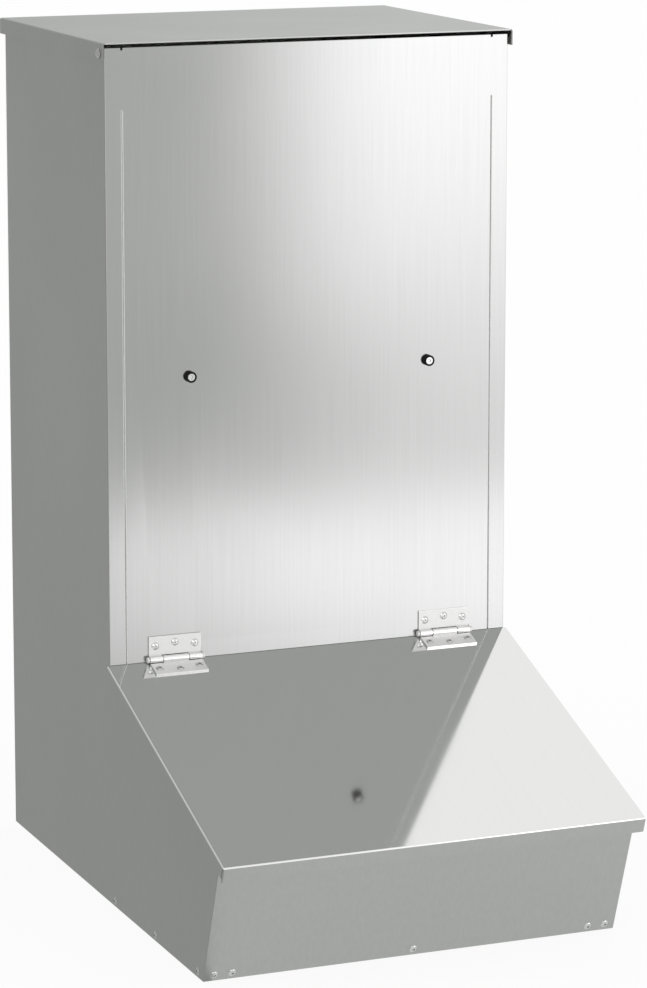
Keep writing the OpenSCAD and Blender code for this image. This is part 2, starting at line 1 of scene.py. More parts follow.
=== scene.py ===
# %% [markdown]
# # A hopper feeder for pigs, in folded stainless sheet
#
# The feeder is a tall hopper over a trough. A polished flap covers the trough, a lid covers the hopper,
# and everything is cut from thin sheet, folded, and joined with blind rivets and two butt hinges.
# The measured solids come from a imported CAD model, so the lesson is about dressing them: rounding the
# folds as a press brake leaves them, turning the rivets, and giving each sheet its own finish.

# %% Load the measured feeder
import json
import math

import bmesh
import bpy
import numpy as np
from mathutils import Matrix, Vector
from mathutils.bvhtree import BVHTree


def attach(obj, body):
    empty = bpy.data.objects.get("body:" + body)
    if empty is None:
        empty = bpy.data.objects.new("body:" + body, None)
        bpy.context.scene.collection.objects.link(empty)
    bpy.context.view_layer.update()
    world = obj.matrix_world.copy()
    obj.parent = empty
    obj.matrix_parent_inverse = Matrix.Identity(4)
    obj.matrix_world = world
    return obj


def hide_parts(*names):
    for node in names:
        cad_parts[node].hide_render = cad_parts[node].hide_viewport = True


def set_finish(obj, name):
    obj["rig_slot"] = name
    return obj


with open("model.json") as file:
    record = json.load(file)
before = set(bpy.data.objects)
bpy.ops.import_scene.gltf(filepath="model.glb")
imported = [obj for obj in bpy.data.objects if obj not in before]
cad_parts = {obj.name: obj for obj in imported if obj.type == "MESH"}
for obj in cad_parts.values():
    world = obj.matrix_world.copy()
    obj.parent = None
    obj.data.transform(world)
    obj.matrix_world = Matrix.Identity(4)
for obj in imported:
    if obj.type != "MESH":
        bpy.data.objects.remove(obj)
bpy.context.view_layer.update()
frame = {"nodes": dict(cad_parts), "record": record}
MM = 0.001

# %% [markdown]
# ## The camera first
#
# The feeder is seen from the front and a little to the left, from above the lid, with a long lens.
# A long lens far away keeps the panels' edges nearly parallel, which is how a maker's catalogue shows
# sheet metal. The camera could be placed by eye, but its place was worked out from the straight edges of
# the feeder instead, so most corners fall within a few pixels of where they should. It is tilted down a
# little, with a small shift, which also keeps the whole feeder in the picture when it is seen from another
# side. The picture is 647 by 988.

# %% Camera
PICTURE_HEIGHT = 988
SENSOR = 36.0
LENS_IN_PIXELS = 3904.4
CAMERA_PLACE = Vector((-1.3475, -3.32089, 1.11613))
CAMERA_TURN = math.radians(22.282)
CAMERA_TILT = math.radians(9.493)
CAMERA_SHIFT = -0.1518
FARTHEST_SEEN = 200

scene = bpy.context.scene
camera_data = bpy.data.cameras.new("catalogue_camera")
camera_data.sensor_width = SENSOR
camera_data.sensor_fit = "AUTO"
camera_data.lens = LENS_IN_PIXELS * SENSOR / PICTURE_HEIGHT
camera_data.shift_y = CAMERA_SHIFT
camera_data.clip_end = FARTHEST_SEEN
camera = bpy.data.objects.new("catalogue_camera", camera_data)
camera.location = CAMERA_PLACE
camera.rotation_euler = (math.pi / 2 - CAMERA_TILT, 0, -CAMERA_TURN)
scene.collection.objects.link(camera)
scene.camera = camera
print("camera lens", round(camera_data.lens, 1), "mm")

# %% [markdown]
# ## Folded sheets
#
# A sheet that comes off a press brake has two kinds of edges. Its folds are round, with a small radius
# inside and one sheet thickness more outside, and they catch a bright line of light. Its cut edges are
# only deburred. The solids have square corners everywhere. A Bevel modifier would treat every edge
# alike, so each edge is looked at instead: if both of its faces are wide it is a fold, and if one face is
# only a sheet thickness wide it is a cut edge. The folds and the cut edges are then rounded apart.
# The front panel serves as the trial piece for each helper.

# %% Weld a node's faces into one skin
WELD = 0.002 * MM
FLAT = math.radians(0.6)


def welded_skin(node):
    """The node's own faces as one closed skin, with flat faces made whole."""
    skin = bmesh.new()
    skin.from_mesh(frame["nodes"][node].data)
    bmesh.ops.remove_doubles(skin, verts=skin.verts, dist=WELD)
    bmesh.ops.dissolve_limit(skin, angle_limit=FLAT, verts=skin.verts, edges=skin.edges)
    skin.normal_update()
    return skin


panel_skin = welded_skin("front_panel")
print("front panel, once welded:", len(panel_skin.faces), "faces", len(panel_skin.edges), "edges")

# %% Tell folds from cut edges
SHARP = math.radians(25)
SHEET = 1.2 * MM
LOOK_IN = 2 * SHEET
LOOK_SHARES = (0.31, 0.5, 0.73)
ON_FACE = 0.02 * MM
SAME_FACING = 0.999
SHORTEST_FOLD = 2 * SHEET


def sharp_edges(skin):
    """Edges where two faces meet at more than a shallow angle."""
    return [e for e in skin.edges if len(e.link_faces) == 2 and e.calc_face_angle(0) > SHARP]


def is_wide(tree, edge, face):
    """Whether the face still goes on two sheet thicknesses in from the edge."""
    start, end = edge.verts[0].co, edge.verts[1].co
    along = (end - start).normalized()
    inward = face.normal.cross(along)
    if inward.dot(face.calc_center_median_weighted() - start) < 0:
        inward = -inward
    for share in LOOK_SHARES:
        spot = start.lerp(end, share) + inward * LOOK_IN
        near, normal, _, gap = tree.find_nearest(spot)
        if near is not None and gap < ON_FACE and normal.dot(face.normal) > SAME_FACING:
            return True
    return False


def fold_edges(skin):
    """The outside and the inside edges of the sheet's folds."""
    tree = BVHTree.FromBMesh(skin)
    outside, inside = [], []
    for edge in sharp_edges(skin):
        if edge.calc_length() > SHORTEST_FOLD and all(is_wide(tree, edge, f) for f in edge.link_faces):
            (outside if edge.is_convex else inside).append(edge)
    return outside, inside


print("front panel:", [len(edges) for edges in fold_edges(panel_skin)], "fold edges outside and inside")

# %% Round edges and shade the piece
ROUND_PROFILE = 0.5
CREASE = math.radians(40)


def round_edges(skin, edges, radius, steps):
    """Replace sharp edges by rounds of a radius, in a number of steps."""
    bmesh.ops.bevel(
        skin, geom=edges, offset=radius, offset_type="OFFSET", segments=steps,
        profile=ROUND_PROFILE, affect="EDGES", clamp_overlap=True,
    )


def shaded_piece(skin, name):
    """A new piece from a skin, smooth over its rounds and crisp on its flats."""
    bmesh.ops.remove_doubles(skin, verts=skin.verts, dist=WELD)
    bmesh.ops.dissolve_degenerate(skin, edges=skin.edges, dist=WELD)
    mesh = bpy.data.meshes.new(name)
    skin.to_mesh(mesh)
    skin.free()
    mesh.shade_smooth()
    mesh.set_sharp_from_angle(angle=CREASE)
    piece = bpy.data.objects.new(name, mesh)
    scene.collection.objects.link(piece)
    keep_flat = piece.modifiers.new("flat_faces", "WEIGHTED_NORMAL")
    keep_flat.keep_sharp = True
    return piece


print("creases stay crisp from", round(math.degrees(CREASE)), "degrees")


# %% Put a piece in its node's place
def stand_for(piece, node, slot):
    """The piece rides where its node does, and is shown in the node's place."""
    body = next(b for b, nodes in frame["record"]["behaviour"]["bodies"].items() if node in nodes)
    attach(piece, body)
    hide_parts(node)
    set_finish(piece, slot)
    return piece


# %% [markdown]
# ## The slits of the front panel
#
# A long narrow slit runs down the front panel near each of its sides. The punch draws the sheet's face in
# with it, so the slit lies in a shallow rounded valley, which shows as a fine pale line; that line is also
# a painted highlight, from the paler finish given to the valley further down. A bevel on the slit's edges
# would be cut short by the slit's narrow ends. So the face is sliced into strips beside the slit, and the
# strips are lowered along a quarter circle. The panel's own upright outer edges are found in the same
# search and get a larger round than a cut edge has.

# %% The upright edges of the front panel
UPRIGHT_LENGTH = 300 * MM


def upright_edges(skin):
    """The long upright edges on the front face: the slits' and the sheet's own outer ones."""
    front = min(v.co.y for v in skin.verts)
    outermost = max(v.co.x for v in skin.verts)
    slits, outer = [], []
    for edge in sharp_edges(skin):
        low, high = edge.verts[0].co, edge.verts[1].co
        if abs(high.z - low.z) > UPRIGHT_LENGTH and max(low.y, high.y) < front + ON_FACE:
            (slits if abs(low.x) < outermost - SHEET else outer).append(edge)
    return slits, outer


slit_edges, outer_edges = upright_edges(panel_skin)
print("front panel:", len(slit_edges), "slit edges and", len(outer_edges), "outer edges")


# %% Where the slits are
def slit_places(slits):
    """The middle, half width, foot and top of each slit, from its two long edges."""
    places = []
    for side in (-1, 1):
        points = [v.co for edge in slits for v in edge.verts if v.co.x * side > 0]
        across, up = [p.x for p in points], [p.z for p in points]
        middle = (min(across) + max(across)) / 2
        places.append((middle, max(across) - middle, min(up), max(up)))
    return places


for middle, half, foot, top in slit_places(slit_edges):
    print("slit at", round(middle / MM, 1), "mm,", round((top - foot) / MM, 1), "mm long")
panel_skin.free()

# %% Press a rounded valley along a slit
SLIT_ROUND = 0.85 * MM
SLIT_STEPS = 5
RUN_OUT = 1.0 * MM
SNAP = 0.001 * MM


def cut(skin, place, way):
    """Slice the faces along a plane and leave the shape as it is."""
    everything = skin.verts[:] + skin.edges[:] + skin.faces[:]
    bmesh.ops.bisect_plane(skin, geom=everything, plane_co=place, plane_no=way, dist=SNAP)


def press_valley(skin, middle, half, foot, top):
    """Roll the sheet's face down into a slit, with a short run-out past its ends."""
    front = min(v.co.y for v in skin.verts)
    for step in range(1, SLIT_STEPS + 1):
        reach = half + SLIT_ROUND * (1 - math.cos(math.pi / 2 * step / SLIT_STEPS))
        for side in (-1, 1):
            cut(skin, (middle + side * reach, 0, 0), (1, 0, 0))
    for height in (foot - RUN_OUT, foot, top, top + RUN_OUT):
        cut(skin, (0, 0, height), (0, 0, 1))
    for vert in skin.verts:
        beside = max(abs(vert.co.x - middle) - half, 0)
        along = foot - SNAP < vert.co.z < top + SNAP
        if along and beside < SLIT_ROUND and vert.co.y < front + ON_FACE:
            vert.co.y += SLIT_ROUND - math.sqrt(SLIT_ROUND ** 2 - (SLIT_ROUND - beside) ** 2)
    skin.normal_update()


def away_from(places, edge):
    """Whether an edge lies outside the valleys."""
    reach = SLIT_ROUND + SHEET
    return not any(
        abs(v.co.x - middle) < half + reach and v.co.z < top + reach
        for middle, half, foot, top in places for v in edge.verts
    )


print("valleys", SLIT_ROUND / MM, "mm deep, in", SLIT_STEPS, "steps to a side")

# %% [markdown]
# ## The lips of the lid
#
# The lid is a shallow tray with its edges turned down. Where a side lip ends at the front, a small face
# beside the
# front edge is painted dark: painted shade for the shade that falls there. In the solid the front edge and
# the fronts of both lips are one face, and one face can't have two finishes. They could be modelled as
# separate pieces, but two cuts across the face are enough, and they don't change the shape.

# %% Part the lid's front edge from the fronts of its side lips
LIP_REACH = 2.2 * MM


def part_lips(skin):
    """Cut across the front edge beside both lips, so that the lips' fronts are faces of their own."""
    half = max(v.co.x for v in skin.verts)
    for side in (-1, 1):
        cut(skin, (side * (half - LIP_REACH), 0, 0), (1, 0, 0))


print("lips parted", LIP_REACH / MM, "mm in from the lid's sides")

# %% [markdown]
# ## Dressing every sheet
#
# The order matters. The insides of the folds come first, because they are the smaller rounds, then the
# outsides, then the slits, and last the thin deburred line on every edge that is still sharp. Modifiers
# could be stacked in the same order, but they can't see which edge is a fold, so the work is done on the
# mesh, in one function for all the sheets.

# %% Dress a sheet
FOLD_INSIDE = 0.7 * MM
FOLD_INSIDE_STEPS = 3
FOLD_OUTSIDE = FOLD_INSIDE + SHEET
FOLD_OUTSIDE_STEPS = 5
OUTER_ROUND = 0.6 * MM
OUTER_STEPS = 4
DEBURR = 0.18 * MM
DEBURR_STEPS = 1


def folded_sheet(node, slot):
    """A sheet with round folds and deburred edges, in its node's place."""
    skin = welded_skin(node)
    outside, inside = fold_edges(skin)
    round_edges(skin, inside, FOLD_INSIDE, FOLD_INSIDE_STEPS)
    outside = [e for e in outside if e.is_valid]
    round_edges(skin, outside, FOLD_OUTSIDE, FOLD_OUTSIDE_STEPS)
    valleys = []
    if node == "front_panel":
        slits, outer = upright_edges(skin)
        valleys = slit_places(slits)
        round_edges(skin, outer, OUTER_ROUND, OUTER_STEPS)
        for valley in valleys:
            press_valley(skin, *valley)
    cut_edges = [e for e in sharp_edges(skin) if away_from(valleys, e)]
    round_edges(skin, cut_edges, DEBURR, DEBURR_STEPS)
    if node == "hopper_lid":
        part_lips(skin)
    print(node, len(outside), "outside folds", len(inside), "inside folds", len(skin.faces), "faces")
    return stand_for(shaded_piece(skin, node + "_sheet"), node, slot)


print("folds", round(FOLD_INSIDE / MM, 2), "mm inside and", round(FOLD_OUTSIDE / MM, 2), "mm outside")

# %% All the sheets
SHEET_SLOTS = {
    "left_side_panel": "satin_sheet",
    "right_side_panel": "satin_sheet",
    "back_panel": "satin_sheet",
    "front_panel": "brushed_sheet",
    "hopper_chute": "satin_sheet",
    "trough_pan": "satin_sheet",
    "trough_front": "satin_sheet",
    "trough_flap": "polished_sheet",
    "hopper_lid": "satin_sheet",
    "feed_gate": "satin_sheet",
}
sheets = {node: folded_sheet(node, slot) for node, slot in SHEET_SLOTS.items()}
print("sheets", len(sheets))

# %% [markdown]
# ## Blind rivets
#
# A blind rivet is set from one side. Its stem is pulled until the tail swells into a bulb behind the
# sheets, and then snaps off inside the head. What shows is a low dome with a hole in the middle and the
# broken stem in the hole. The rivets could be scattered as copies of one mesh, but each one sits at its
# own angle, so its axis is read off its solid, and the outline is turned round that axis as on a lathe.

# %% Find the separate solids of a node
def separate_solids(node):
    """The corner points of each separate solid of a node."""
    skin = welded_skin(node)
    left = set(skin.verts)
    solids = []
    while left:
        group = [left.pop()]
        for vert in group:
            near = {edge.other_vert(vert) for edge in vert.link_edges} & left
            group.extend(near)
            left -= near
        solids.append(np.array([v.co for v in group]))
    skin.free()
    return solids


front_rivet_solids = separate_solids("front_pan_rivets")
print("rivets along the trough's front:", len(front_rivet_solids))

# %% Find a rivet's axis
RIM_SHARE = 0.97


def turned_frame(points):
    """A rivet's seat, the way out over its head, the head's radius and height, and the tail's length."""
    spreads, ways = np.linalg.eigh(np.cov(points.T))
    odd_one = 0 if spreads[1] - spreads[0] > spreads[2] - spreads[1] else 2
    out = ways[:, odd_one]
    across = [ways[:, i] for i in range(3) if i != odd_one]
    middle = sum(way * (points @ way).min() / 2 + way * (points @ way).max() / 2 for way in across)
    height = points @ out
    radius = np.linalg.norm(points - middle - np.outer(height, out), axis=1)
    rim = height[radius > RIM_SHARE * radius.max()]
    if rim.mean() < (height.min() + height.max()) / 2:
        out, height, rim = -out, -height, -rim
    seat = rim.min()
    return (
        Vector(middle + seat * out), Vector(out),
        radius.max(), height.max() - seat, seat - height.min(),
    )


first_measures = turned_frame(front_rivet_solids[0])[2:]
print("head radius, head height and tail:", [round(m / MM, 2) for m in first_measures], "mm")

# %% Turn an outline round an axis
TRIAL_CONE = [(0, 1), (1, 0), (0, 0)]
TRIAL_STEPS = 8


def turn(skin, outline, place, out, steps):
    """A closed skin from an outline of radius and height that starts and ends on the axis."""
    across = out.orthogonal().normalized()
    beside = out.cross(across)
    rings = []
    for radius, height in outline:
        centre = place + out * height
        if radius == 0:
            rings.append([skin.verts.new(centre)])
            continue
        angles = [2 * math.pi * i / steps for i in range(steps)]
        rings.append([
            skin.verts.new(centre + (across * math.cos(a) + beside * math.sin(a)) * radius)
            for a in angles
        ])
    for lower, upper in zip(rings, rings[1:]):
        for i in range(steps):
            corners = [lower[i % len(lower)], lower[(i + 1) % len(lower)],
                       upper[(i + 1) % len(upper)], upper[i % len(upper)]]
            skin.faces.new(list(dict.fromkeys(corners)))


trial_skin = bmesh.new()
turn(trial_skin, TRIAL_CONE, Vector((0, 0, 0)), Vector((0, 0, 1)), TRIAL_STEPS)
print("a cone in", TRIAL_STEPS, "steps has", len(trial_skin.faces), "faces")
trial_skin.free()

# %% The outline of a set blind rivet
STEM_SHARE = 0.23
BROKEN_STEM_SHARES = [(0, 0.2), (0.6, 0.26), (1, 0.15), (1, -0.2)]
HOLE_SHARE = 0.3
HOLE_HEIGHT_SHARES = (-0.2, 0.84)
DOME_SHARES = (0.35, 0.45, 0.55, 0.65, 0.75, 0.84, 0.92, 0.97)
RIM_HEIGHT_SHARE = 0.08
UNDER_RIM_SHARE = 0.985
SHANK_RADIUS = 2.0 * MM
BULB_RADIUS = 2.8 * MM
BULB_HEIGHT = 2.2 * MM
BULB_SHARES = [(0, 0), (0.55, 0.1), (0.9, 0.3), (1, 0.55), (0.85, 0.85), (0.5, 1)]
TAIL_END_SHARE = 0.6


def rivet_outline(head_radius, head_height, tail):
    """Radius and height, from the broken stem out over the dome and down to the swollen tail."""
    ball = (head_radius ** 2 + head_height ** 2) / (2 * head_height)

    def dome(share):
        radius = share * head_radius
        return radius, head_height - ball + math.sqrt(ball ** 2 - radius ** 2)

    stem, hole = STEM_SHARE * head_radius, HOLE_SHARE * head_radius
    head = [(stem * out, head_height * up) for out, up in BROKEN_STEM_SHARES]
    head += [(hole, head_height * up) for up in HOLE_HEIGHT_SHARES]
    head += [dome(share) for share in DOME_SHARES]
    head += [(head_radius, RIM_HEIGHT_SHARE * head_height), (UNDER_RIM_SHARE * head_radius, 0)]
    bulb = [
        (SHANK_RADIUS + (BULB_RADIUS - SHANK_RADIUS) * out, BULB_HEIGHT * (1 - down) - tail)
        for out, down in BULB_SHARES
    ]
    return head + [(SHANK_RADIUS, 0)] + bulb + [(TAIL_END_SHARE * SHANK_RADIUS, -tail), (0, -tail)]


print("points in a rivet's outline:", len(rivet_outline(*first_measures)))

# %% Turn all the rivets
RIVET_STEPS = 40


def turned_rivets(node):
    """All the rivets of a node as one piece of separate turned skins."""
    skin = bmesh.new()
    solids = separate_solids(node)
    for points in solids:
        seat, out, head_radius, head_height, tail = turned_frame(points)
        turn(skin, rivet_outline(head_radius, head_height, tail), seat, out, RIVET_STEPS)
    bmesh.ops.recalc_face_normals(skin, faces=skin.faces)
    print(node, len(solids), "rivets, heads", round(2 * head_radius / MM, 2), "mm wide")
    return stand_for(shaded_piece(skin, node + "_turned"), node, "bright_steel")


RIVET_NODES = ["side_pan_rivets", "front_pan_rivets", "fixed_leaf_rivets", "moving_leaf_rivets"]
rivets = {node: turned_rivets(node) for node in RIVET_NODES}
print("rivet pieces", len(rivets))

# %% [markdown]
# ## Pressed and turned parts
#
# The hinge leaves, pins, screws, nuts and washers are solid little parts. Their shape is already right,
# and only the razor edges of the solids look wrong: a real edge is broken by tumbling. Each one could be
# modelled anew, but it is enough to keep its faces and put a small round on every sharp edge. The table
# gives each part's slot and the radius of its rounds in millimetres.

# %% Break the edges of the small parts
TUMBLED = {
    "left_fixed_leaf": ("hinge_steel", 0.25),
    "right_fixed_leaf": ("hinge_steel", 0.25),
    "left_moving_leaf": ("hinge_steel", 0.25),
    "right_moving_leaf": ("hinge_steel", 0.25),
    "left_hinge_pin": ("hinge_steel", 0.4),
    "right_hinge_pin": ("hinge_steel", 0.4),
    "bump_stop_screws": ("bright_steel", 0.3),
    "bump_stop_washers": ("bright_steel", 0.1),
    "bump_stop_nuts": ("bright_steel", 0.2),
    "left_lid_pivot": ("bright_steel", 0.15),
    "right_lid_pivot": ("bright_steel", 0.15),
    "lid_spacers": ("satin_sheet", 0.15),
    "gate_bolts": ("bright_steel", 0.2),
    "gate_washers": ("bright_steel", 0.15),
    "left_wing_nut": ("bright_steel", 0.5),
    "right_wing_nut": ("bright_steel", 0.5),
    "left_bump_stop": ("stop_rubber", 0.6),
    "right_bump_stop": ("stop_rubber", 0.6),
}
TUMBLED_STEPS = 2


def tumbled_part(node, slot, radius):
    """A solid part with a small round on every sharp edge, in its node's place."""
    skin = welded_skin(node)
    round_edges(skin, sharp_edges(skin), radius * MM, TUMBLED_STEPS)
    return stand_for(shaded_piece(skin, node + "_part"), node, slot)


small_parts = {node: tumbled_part(node, slot, r) for node, (slot, r) in TUMBLED.items()}
print("small parts", len(small_parts))

# %% [markdown]
# ## Finishes
#
# Stainless sheet is a metal, so it has no colour of its own beyond the tint of what it mirrors. What sets
# one sheet apart from another is how rough its surface is and which way its grain runs. Photographs of
# steel could be wrapped round the sheets, but they would carry their own reflections along. A finish here
# is one Principled shader, with its constants set on its own sockets, and a few noises that vary the
# roughness, the tint and the height.

# %% A new finish and the noises in it
def new_finish(name):
    """A material with its nodes, its links and its Principled shader."""
    finish = bpy.data.materials.new(name)
    finish.use_nodes = True
    nodes = finish.node_tree.nodes
    return finish, nodes, finish.node_tree.links, nodes["Principled BSDF"]


def stretched_noise(nodes, links, waves, detail):
    """A noise in the object's own space, with a number of waves to the metre along each axis."""
    place = nodes.new("ShaderNodeTexCoord")
    squeeze = nodes.new("ShaderNodeMapping")
    squeeze.inputs["Scale"].default_value = waves
    noise = nodes.new("ShaderNodeTexNoise")
    noise.inputs["Scale"].default_value = 1
    noise.inputs["Detail"].default_value = detail
    links.new(place.outputs["Object"], squeeze.inputs["Vector"])
    links.new(squeeze.outputs["Vector"], noise.inputs["Vector"])
    return noise.outputs["Fac"]


# %% What a noise drives
NOISE_LOW = 0.3
NOISE_HIGH = 0.7


def between(nodes, links, value, low, high):
    """A noise's middle range spread between two numbers."""
    spread = nodes.new("ShaderNodeMapRange")
    spread.inputs["From Min"].default_value = NOISE_LOW
    spread.inputs["From Max"].default_value = NOISE_HIGH
    spread.inputs["To Min"].default_value = low
    spread.inputs["To Max"].default_value = high
    links.new(value, spread.inputs["Value"])
    return spread.outputs["Result"]


def tint_between(nodes, links, value, low, high):
    """A noise turned into a colour between two tints."""
    ramp = nodes.new("ShaderNodeValToRGB")
    ramp.color_ramp.elements[0].position = NOISE_LOW
    ramp.color_ramp.elements[1].position = NOISE_HIGH
    ramp.color_ramp.elements[0].color = (*low, 1)
    ramp.color_ramp.elements[1].color = (*high, 1)
    links.new(value, ramp.inputs["Fac"])
    return ramp.outputs["Color"]


def raised(nodes, links, shader, value, height, strength):
    """A noise that raises and lowers the surface a little."""
    bump = nodes.new("ShaderNodeBump")
    bump.inputs["Distance"].default_value = height
    bump.inputs["Strength"].default_value = strength
    links.new(value, bump.inputs["Height"])
    links.new(bump.outputs["Normal"], shader.inputs["Normal"])


print("a noise counts from", NOISE_LOW, "to", NOISE_HIGH)

# %% Steel with a grain
GRAIN_DETAIL = 3
GRAIN_STRENGTH = 0.1
CLOUDS = (7, 7, 5)
CLOUD_DETAIL = 2


def steel_finish(name, grain, tints, roughness, height, bare=1.0):
    """Steel with a fine grain; bare is the share of it that no dull plating covers."""
    finish, nodes, links, shader = new_finish(name)
    shader.inputs["Metallic"].default_value = bare
    fine = stretched_noise(nodes, links, grain, GRAIN_DETAIL)
    broad = stretched_noise(nodes, links, CLOUDS, CLOUD_DETAIL)
    links.new(tint_between(nodes, links, fine, *tints), shader.inputs["Base Color"])
    links.new(between(nodes, links, broad, *roughness), shader.inputs["Roughness"])
    raised(nodes, links, shader, fine, height, GRAIN_STRENGTH)
    print(finish.name, "roughness", roughness, "bare", bare)
    return finish


# %% The outsides of the sheets
satin = steel_finish(
    "satin_sheet_finish", grain=(350, 350, 60),
    tints=((0.380, 0.392, 0.375), (0.400, 0.412, 0.395)), roughness=(0.38, 0.42), height=0.02 * MM,
)
brushed = steel_finish(
    "brushed_sheet_finish", grain=(450, 450, 8),
    tints=((0.3525, 0.3615, 0.3490), (0.3655, 0.3745, 0.3620)), roughness=(0.14, 0.17), height=0.01 * MM,
)
polished = steel_finish(
    "polished_sheet_finish", grain=(260, 12, 12),
    tints=((0.795, 0.80, 0.79), (0.805, 0.81, 0.80)), roughness=(0.05, 0.08), height=0.004 * MM,
)

# %% The hinges and the fasteners
hinge_steel = steel_finish(
    "hinge_steel_finish", grain=(900, 900, 900),
    tints=((0.70, 0.70, 0.69), (0.74, 0.74, 0.73)), roughness=(0.24, 0.32), height=0.01 * MM, bare=0.2,
)
bright_steel = steel_finish(
    "bright_steel_finish", grain=(700, 700, 700),
    tints=((0.50, 0.505, 0.495), (0.58, 0.585, 0.575)), roughness=(0.14, 0.2), height=0.01 * MM,
)

# %% [markdown]
# ## Rubber
#
# The two stops on the front panel are black rubber rounds that catch the flap when it is thrown open.
# Rubber is no metal. It is almost black, dull, and finely speckled from its mould, so it gets a very dark
# tint, a weak shine and one fine noise for everything. A flat black would lose its round shape.

# %% Rubber of the stops
RUBBER_SPECKLE = (1500, 1500, 1500)
RUBBER_DETAIL = 3
RUBBER_TINTS = ((0.004, 0.004, 0.004), (0.009, 0.009, 0.009))
RUBBER_ROUGHNESS = (0.5, 0.7)
RUBBER_SHINE = 0.08
RUBBER_HEIGHT = 0.05 * MM
RUBBER_STRENGTH = 0.3

rubber, nodes, links, shader = new_finish("stop_rubber_finish")
speckle = stretched_noise(nodes, links, RUBBER_SPECKLE, RUBBER_DETAIL)
links.new(tint_between(nodes, links, speckle, *RUBBER_TINTS), shader.inputs["Base Color"])
links.new(between(nodes, links, speckle, *RUBBER_ROUGHNESS), shader.inputs["Roughness"])
shader.inputs["Specular IOR Level"].default_value = RUBBER_SHINE
raised(nodes, links, shader, speckle, RUBBER_HEIGHT, RUBBER_STRENGTH)
print(rubber.name, "roughness", RUBBER_ROUGHNESS)

# %% Put each finish on its pieces
finishes = {
    "satin_sheet": satin,
    "brushed_sheet": brushed,
    "polished_sheet": polished,
    "hinge_steel": hinge_steel,
    "bright_steel": bright_steel,
    "stop_rubber": rubber,
}
for piece in [*sheets.values(), *rivets.values(), *small_parts.values()]:
    piece.data.materials.clear()
    piece.data.materials.append(finishes[piece["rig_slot"]])
print("finishes", sorted(finishes))

# %% [markdown]
# ## Second finishes
#
# A sheet is rarely the same all over, and here some faces also carry painted light: the insides are
# painted brighter, the slits and the hinges' edges carry a painted highlight, and the lid's lip fronts and
# the flap's edges carry painted shade. Two meshes would leave an open seam where the finishes meet, so
# each piece stays one mesh, and its faces choose between its finishes.

# %% Another finish on some faces
def second_finish(piece, finish, chosen):
    """Put another finish on the faces that the test picks."""
    piece.data.materials.append(finish)
    count = 0
    for face in piece.data.polygons:
        if chosen(face):
            face.material_index = len(piece.data.materials) - 1
            count += 1
    print(piece.name, "faces", len(piece.data.polygons), "in", finish.name, count)


# %% [markdown]
# ### The inside
#
# Nobody brushes the inside of a hopper. It keeps the skin of the mill, and the feed that runs over it
# keeps it clean; its brighter tint here is painted light. Light has to bounce several times to get out of
# such a deep box.
# A lamp inside would show it too, but there is none in a feeder, and a brighter finish is enough.

# %% The insides of the hopper and the trough
# The brighter tint below is painted light for the insides.
mill_and_painted_light = steel_finish(
    "inner_mill_and_painted_light_finish", grain=(350, 350, 60),
    tints=((0.62, 0.63, 0.615), (0.66, 0.67, 0.655)), roughness=(0.34, 0.4), height=0.02 * MM,
)
INSIDE_FACING = 0.5
INSIDE_WAYS = {
    "left_side_panel": Vector((1, 0, 0)),
    "right_side_panel": Vector((-1, 0, 0)),
    "back_panel": Vector((0, -1, 0)),
    "front_panel": Vector((0, 1, 0)),
    "trough_front": Vector((0, 1, 0)),
    "trough_pan": Vector((0, 0, 1)),
    "hopper_chute": Vector((0, 0, 1)),
}


def looking(way):
    """A test for the faces that look a given way."""
    return lambda face: face.normal.dot(way) > INSIDE_FACING


for node, way in INSIDE_WAYS.items():
    second_finish(sheets[node], mill_and_painted_light, looking(way))

# %% [markdown]
# ### The flap
#
# The flap is polished above and keeps the rougher satin below, on its turned-down edges and at its back;
# the satin's darker tint there is painted shade. Its faces could be picked by hand, but it lies at a
# slope, so its own largest face says which way is up.

# %% The flap, satin below
FLAP_TOP_FACING = 0.1
FLAP_BACK_FACING = -0.05

flap = sheets["trough_flap"]
flap_up = max(flap.data.polygons, key=lambda face: face.area).normal.copy()
if flap_up.z < 0:
    flap_up = -flap_up
flap_front = Vector((1, 0, 0)).cross(flap_up)
if flap_front.y > 0:
    flap_front = -flap_front


def off_the_polish(face):
    """Whether a face of the flap looks down, sideways or back."""
    below = face.normal.dot(flap_up) < FLAP_TOP_FACING
    return below or face.normal.dot(flap_front) < FLAP_BACK_FACING


# The darker satin on the flap's edges and back is partly painted shade.
second_finish(flap, satin, off_the_polish)

# %% [markdown]
# ### The hinge leaves
#
# A hinge leaf is dull zinc on its flats. Its rolled knuckle and trimmed edges get a paler, shinier steel:
# a painted highlight for the bright lines of light along them. Dirt and wear are often painted on by hand.
# Here the
# rule is plain enough for a test: a face that lies on neither flat of the leaf gets the painted highlight.

# %% The hinge leaves, with a painted highlight off their flats
# The paler tint below is a painted highlight on the knuckles and edges.
hinge_painted_highlight = steel_finish(
    "hinge_painted_highlight_finish", grain=(900, 900, 900),
    tints=((0.80, 0.80, 0.79), (0.86, 0.86, 0.85)), roughness=(0.14, 0.22), height=0.01 * MM,
)
FLAT_FACING = 0.999
ON_FLAT = 0.05 * MM
LARGE_SHARE = 0.1


def off_the_flats(mesh):
    """A test for the faces that lie on neither flat of a leaf."""
    largest = max(mesh.polygons, key=lambda face: face.area)
    way = largest.normal.copy()
    levels = [
        face.center.dot(way) for face in mesh.polygons
        if abs(face.normal.dot(way)) > FLAT_FACING and face.area > LARGE_SHARE * largest.area
    ]

    def chosen(face):
        level = face.center.dot(way)
        near = min(abs(level - other) for other in levels) < ON_FLAT
        return not (near and abs(face.normal.dot(way)) > FLAT_FACING)

    return chosen


for node in ("left_fixed_leaf", "right_fixed_leaf", "left_moving_leaf", "right_moving_leaf"):
    leaf = small_parts[node]
    second_finish(leaf, hinge_painted_highlight, off_the_flats(leaf.data))
